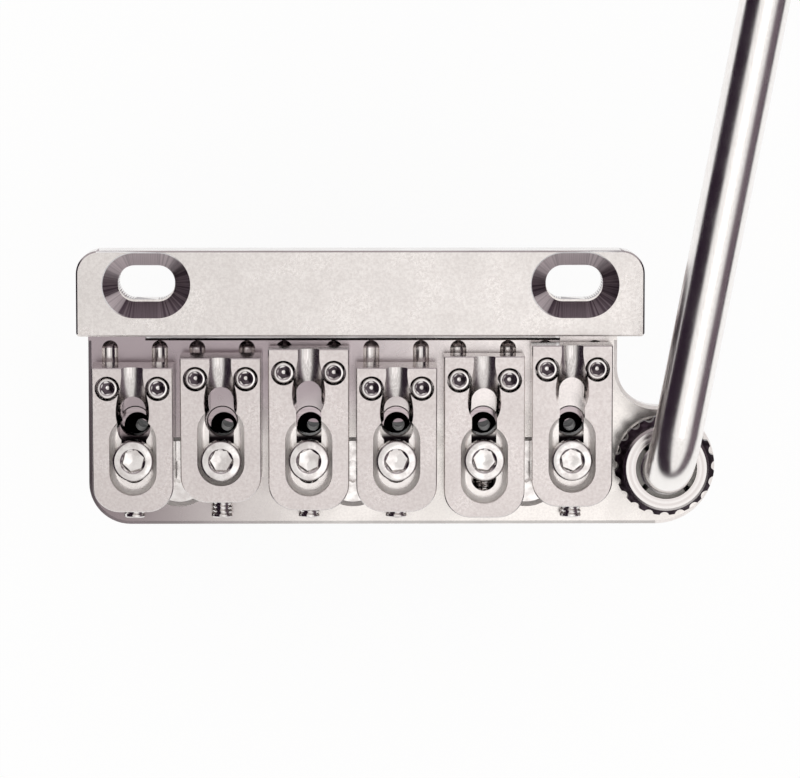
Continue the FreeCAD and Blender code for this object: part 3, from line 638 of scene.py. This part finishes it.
# what the metal mirrors of the floor is white near the object and as dark as the tent further out; behind the
# object it stays white for twice as far
drawn = maths(tree, "MAXIMUM", way["Y"], maths(tree, "MULTIPLY", way["Y"], studio["floorStretch"]))
ground = add(tree, "CombineXYZ", {"X": way["X"], "Y": drawn}).outputs["Vector"]
away = add(tree, "VectorMath", {0: ground}, operation="LENGTH").outputs["Value"]
near, far = studio["floorWhite"]
mirrored = blendColour(tree, ramp(tree, away, near * mm, far * mm), linear("#ffffff"), linear(studio["tentDark"]))
glow = add(tree, "Emission", {"Color": mirrored, "Strength": 1.0}).outputs[0]
surface = add(tree, "MixShader", {0: ray["Is Glossy Ray"], 1: surface, 2: glow}).outputs[0]
add(tree, "OutputMaterial", {"Surface": surface})
half, level = studio["floorSide"] / 2, cadBox[0][2] / mm - studio["floorDrop"]
sheet = np.array([(-half, -half, level), (half, -half, level), (half, half, level), (-half, half, level)])
stagePiece("floor", sheet, np.array([(0, 1, 2, 3)]), floorPaint)

cloth, tree, place = startMaterial("dark_tent")
way = axisValues(tree, place)
openX, openY = [between(tree, maths(tree, "DIVIDE", way[axis], way["Z"]), studio["window" + axis]) for axis in "XY"]
radius = studio["tentRadius"] * mm
sideways = ramp(tree, way["X"], *(share * radius for share in studio["tentSide"]))
neckward = ramp(tree, way["Y"], *(share * radius for share in studio["tentNeck"]))
tint = blendColour(tree, sideways, linear(studio["tentDark"]), linear(studio["tentGrey"]))
tint = blendColour(tree, neckward, tint, linear(studio["tentPale"]))
canvas = add(tree, "Emission", {"Color": tint, "Strength": 1.0}).outputs[0]
clear = add(tree, "BsdfTransparent").outputs[0]
surface = add(tree, "MixShader", {0: maths(tree, "MULTIPLY", openX, openY), 1: canvas, 2: clear}).outputs[0]
add(tree, "OutputMaterial", {"Surface": surface})
# the tent is a half dome: rows climb from the floor to the top, and each is a full ring
climb, turn = np.meshgrid(np.radians(np.linspace(-2, 89, 40)), np.linspace(0, 2 * np.pi, 65)[:-1], indexing="ij")
dome = np.stack([np.cos(climb) * np.cos(turn), np.cos(climb) * np.sin(turn), np.sin(climb)], axis=-1)
spots = np.arange(turn.size).reshape(turn.shape)
onward = np.roll(spots, -1, axis=1)
panels = np.stack([spots[:-1], spots[1:], onward[1:], onward[:-1]], axis=-1).reshape(-1, 4)
tent = stagePiece("tent", dome.reshape(-1, 3) * studio["tentRadius"], panels, cloth)
tent.visible_camera = False
tent.visible_diffuse = False
tent.visible_shadow = False

room = bpy.data.worlds.new("room")
scene.world = room
room.use_nodes = True
room.node_tree.nodes.clear()
sky = add(room.node_tree, "Background", {"Color": linear(studio["room"]), "Strength": studio["roomStrength"]})
add(room.node_tree, "OutputWorld", {"Surface": sky.outputs[0]})

# A soft box overhead, in metres, watts and degrees.
softBox = {"size": 0.6, "energy": 0.4, "place": (0.25, -0.2, 1.0), "tilt": (-11, 14, 0)}
lamp = bpy.data.lights.new("soft_box", "AREA")
lamp.shape = "DISK"
lamp.size = softBox["size"]
lamp.energy = softBox["energy"]
box = bpy.data.objects.new("soft_box", lamp)
box.location = softBox["place"]
box.rotation_euler = [math.radians(angle) for angle in softBox["tilt"]]
scene.collection.objects.link(box)

# Camera: almost straight above, tipped towards the neck's side; its place is in mm.
view = {"place": (-0.03, 31.97, 498.42), "right": (0.999953, 0.0, 0.009715), "up": (0.00088, 0.995887, -0.090597),
        "back": (-0.009675, 0.090601, 0.99584), "lens": 184.5}
lens = bpy.data.cameras.new("camera")
lens.lens = view["lens"]
lens.sensor_width = 36.0
lens.sensor_fit = "HORIZONTAL"
lens.clip_start = 0.01
camera = bpy.data.objects.new("camera", lens)
axes = np.array([view["right"], view["up"], view["back"], np.array(view["place"]) * mm]).T
camera.matrix_world = Matrix(np.vstack([axes, (0, 0, 0, 1)]).tolist())
scene.collection.objects.link(camera)
scene.camera = camera
print("studio and camera set")
